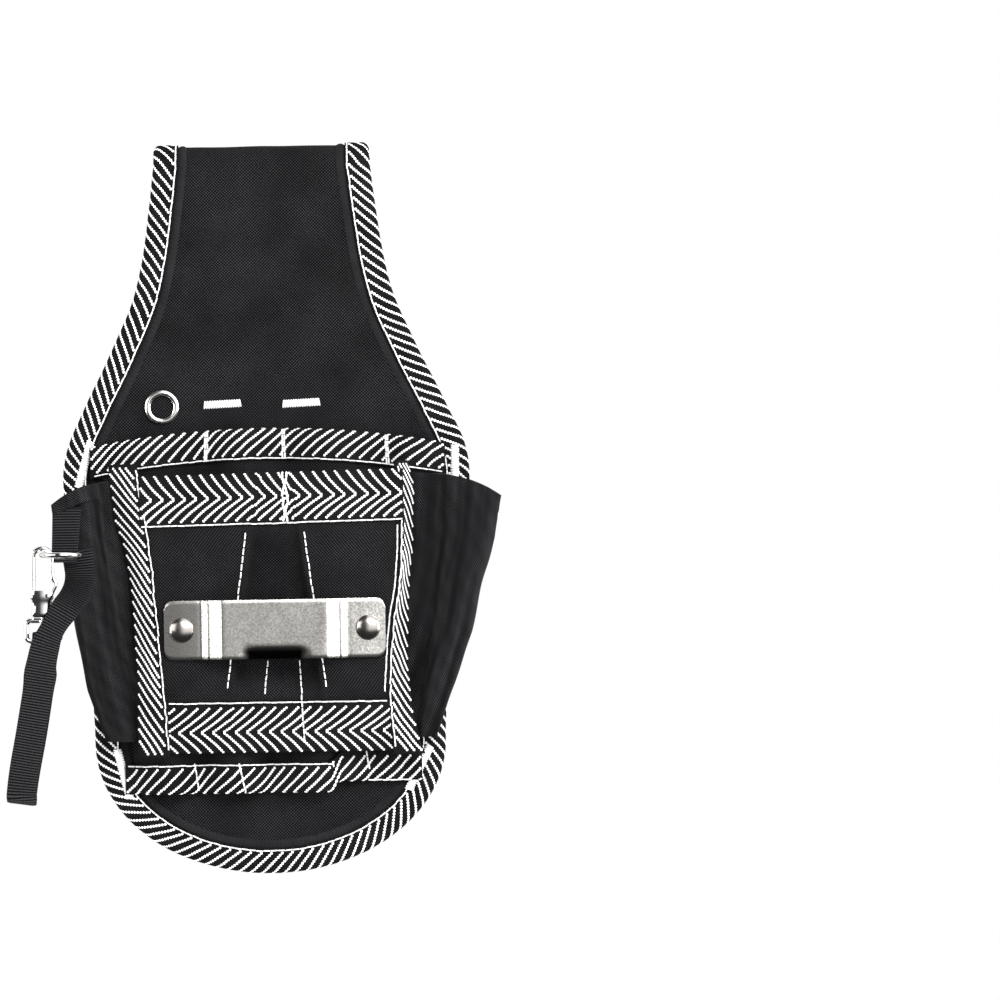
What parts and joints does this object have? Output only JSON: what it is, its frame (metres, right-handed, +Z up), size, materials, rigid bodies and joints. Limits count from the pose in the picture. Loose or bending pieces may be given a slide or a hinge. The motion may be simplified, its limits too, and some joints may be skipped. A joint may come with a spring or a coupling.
{
  "type": "electrician tool pouch",
  "caption": "Hanging cloth tool pouch with a belt loop, layered tool pockets, two side pockets, a riveted metal tape-measure clip and a webbing strap on a swivel snap hook.",
  "frame": {"origin": "the belt seat: the middle of the underside of the top fold, where the pouch hangs on a belt", "axes": "+X to the right as seen from the front, -Y out of the front with the pockets and the metal clip, +Z up"},
  "size_m": [0.1698, 0.0531, 0.2512],
  "materials": {
    "cloth": "black polyester oxford cloth",
    "herringbone_tape": "black and white herringbone binding tape",
    "foam": "thin dark foam interlining",
    "thread": "white sewing thread",
    "eyelet_nickel": "nickel-plated",
    "clip_plate": "bright galvanised, with a fine spangle",
    "clip_rivets": "polished nickel",
    "strap_hardware": "bright nickel plate",
    "spring_steel": "plain",
    "webbing": "ribbed black webbing"
  },
  "bodies": {
    "pouch": {"back_panel_face": "cloth", "back_panel_lining": "cloth", "rear_pocket_panel": "cloth", "front_pocket_panel": "cloth", "left_side_pocket": "cloth", "right_side_pocket": "cloth", "edge_binding": "herringbone_tape", "rear_pocket_top_tape": "herringbone_tape", "rear_pocket_bottom_tape": "herringbone_tape", "front_pocket_top_tape": "herringbone_tape", "front_pocket_bottom_tape": "herringbone_tape", "left_seam_tape": "herringbone_tape", "right_seam_tape": "herringbone_tape", "back_panel_foam": "foam", "belt_loop_tack_left": "thread", "belt_loop_tack_right": "thread", "upper_corner_tack_left": "thread", "upper_corner_tack_right": "thread", "lower_corner_tack_left": "thread", "lower_corner_tack_right": "thread", "eyelet_barrel": "eyelet_nickel", "eyelet_washer": "eyelet_nickel", "tape_clip_plate": "clip_plate", "clip_rivet_left": "clip_rivets", "clip_rivet_right": "clip_rivets", "clip_rivet_washer_left": "clip_rivets", "clip_rivet_washer_right": "clip_rivets", "webbing_tab": "webbing"},
    "strap_loop": {"strap_webbing": "webbing", "swivel_eye": "strap_hardware"},
    "d_ring": {"d_ring": "strap_hardware"},
    "snap_hook": {"snap_hook_body": "strap_hardware", "gate_pin": "strap_hardware", "gate_spring": "spring_steel"},
    "gate": {"hook_gate": "strap_hardware"}
  },
  "joints": [
    {"name": "strap_swing", "type": "hinge", "parent": "pouch", "child": "strap_loop", "pos_m": [-0.0695, -0.0307, -0.1363], "axis": [-1, 0, 0], "range_deg": [0, 40]},
    {"name": "d_ring_tilt", "type": "hinge", "parent": "strap_loop", "child": "d_ring", "pos_m": [-0.0695, -0.0307, -0.1363], "axis": [1, 0, 0], "range_deg": [0, 8]},
    {"name": "hook_swivel", "type": "hinge", "parent": "strap_loop", "child": "snap_hook", "pos_m": [-0.076, -0.0372, -0.1573], "axis": [0, 0, 1], "range_deg": [-20, 20]},
    {"name": "gate_open", "type": "hinge", "parent": "snap_hook", "child": "gate", "pos_m": [-0.0743, -0.0372, -0.1501], "axis": [0, -1, 0], "range_deg": [0, 14], "stiffness_Nm_per_rad": 0.004, "springref_deg": -17.19}
  ]
}
